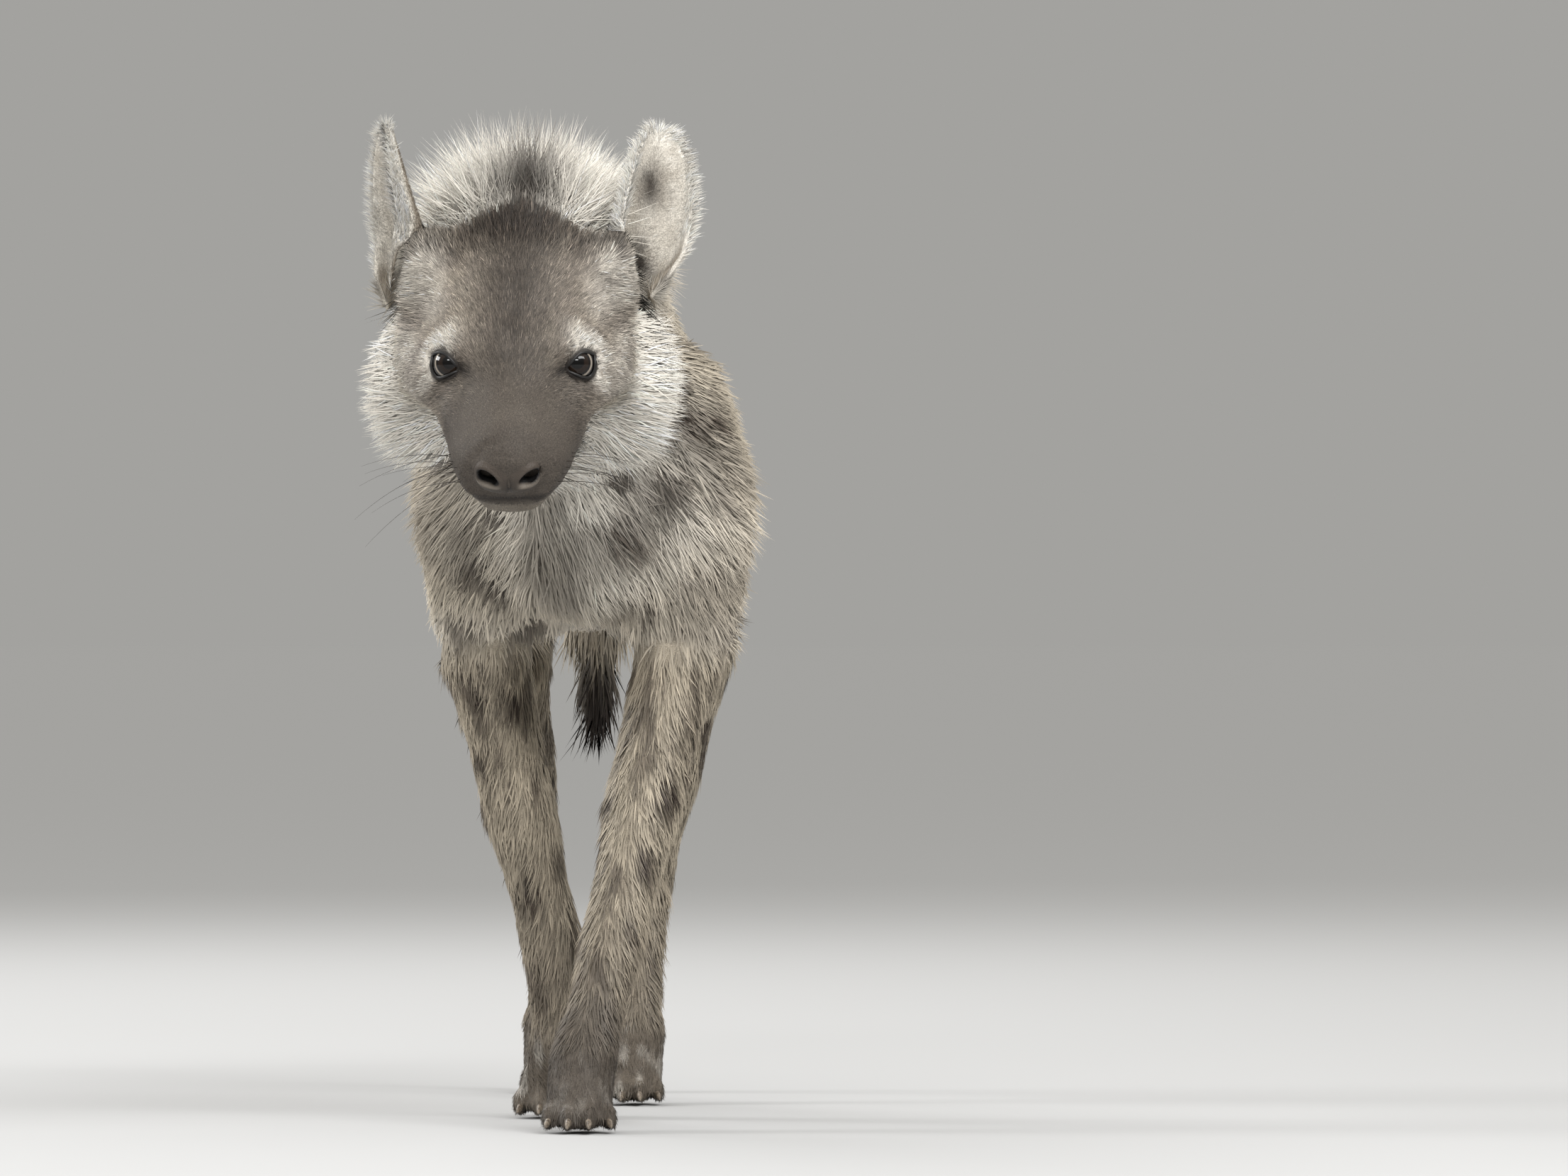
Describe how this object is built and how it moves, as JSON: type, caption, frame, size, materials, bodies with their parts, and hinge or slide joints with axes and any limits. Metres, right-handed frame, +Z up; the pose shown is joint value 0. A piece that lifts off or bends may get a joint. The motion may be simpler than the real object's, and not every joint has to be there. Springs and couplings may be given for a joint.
{
  "type": "spotted hyena",
  "caption": "Life-size spotted hyena walking with its head held low, shaggy coat, rounded ears, short mane and brush tail.",
  "frame": {"origin": "on the floor, under the middle of the animal's own box", "axes": "+Z up; -Y is the way the animal faces and walks; +X is the animal's own left side"},
  "size_m": [0.3166, 1.2278, 0.839],
  "materials": {
    "pelt": "shaggy buff-grey fur with dark brown spots",
    "dark_pelt": "short dark brown fur",
    "nose_skin": "bare black skin, slightly damp",
    "eye": "wet and glossy, near-black with a dark amber iris"
  },
  "bodies": {
    "root": {"torso": "pelt", "neck": "pelt", "head": "pelt", "lower_jaw": "dark_pelt", "nose": "nose_skin", "ear_left": "pelt", "ear_right": "pelt", "eye_left": "eye", "eye_right": "eye", "foreleg_left": "pelt", "forepaw_left": "dark_pelt", "foreleg_right": "pelt", "forepaw_right": "dark_pelt", "hindleg_left": "pelt", "hindpaw_left": "dark_pelt", "hindleg_right": "pelt", "hindpaw_right": "dark_pelt", "tail": "dark_pelt"}
  },
  "joints": []
}
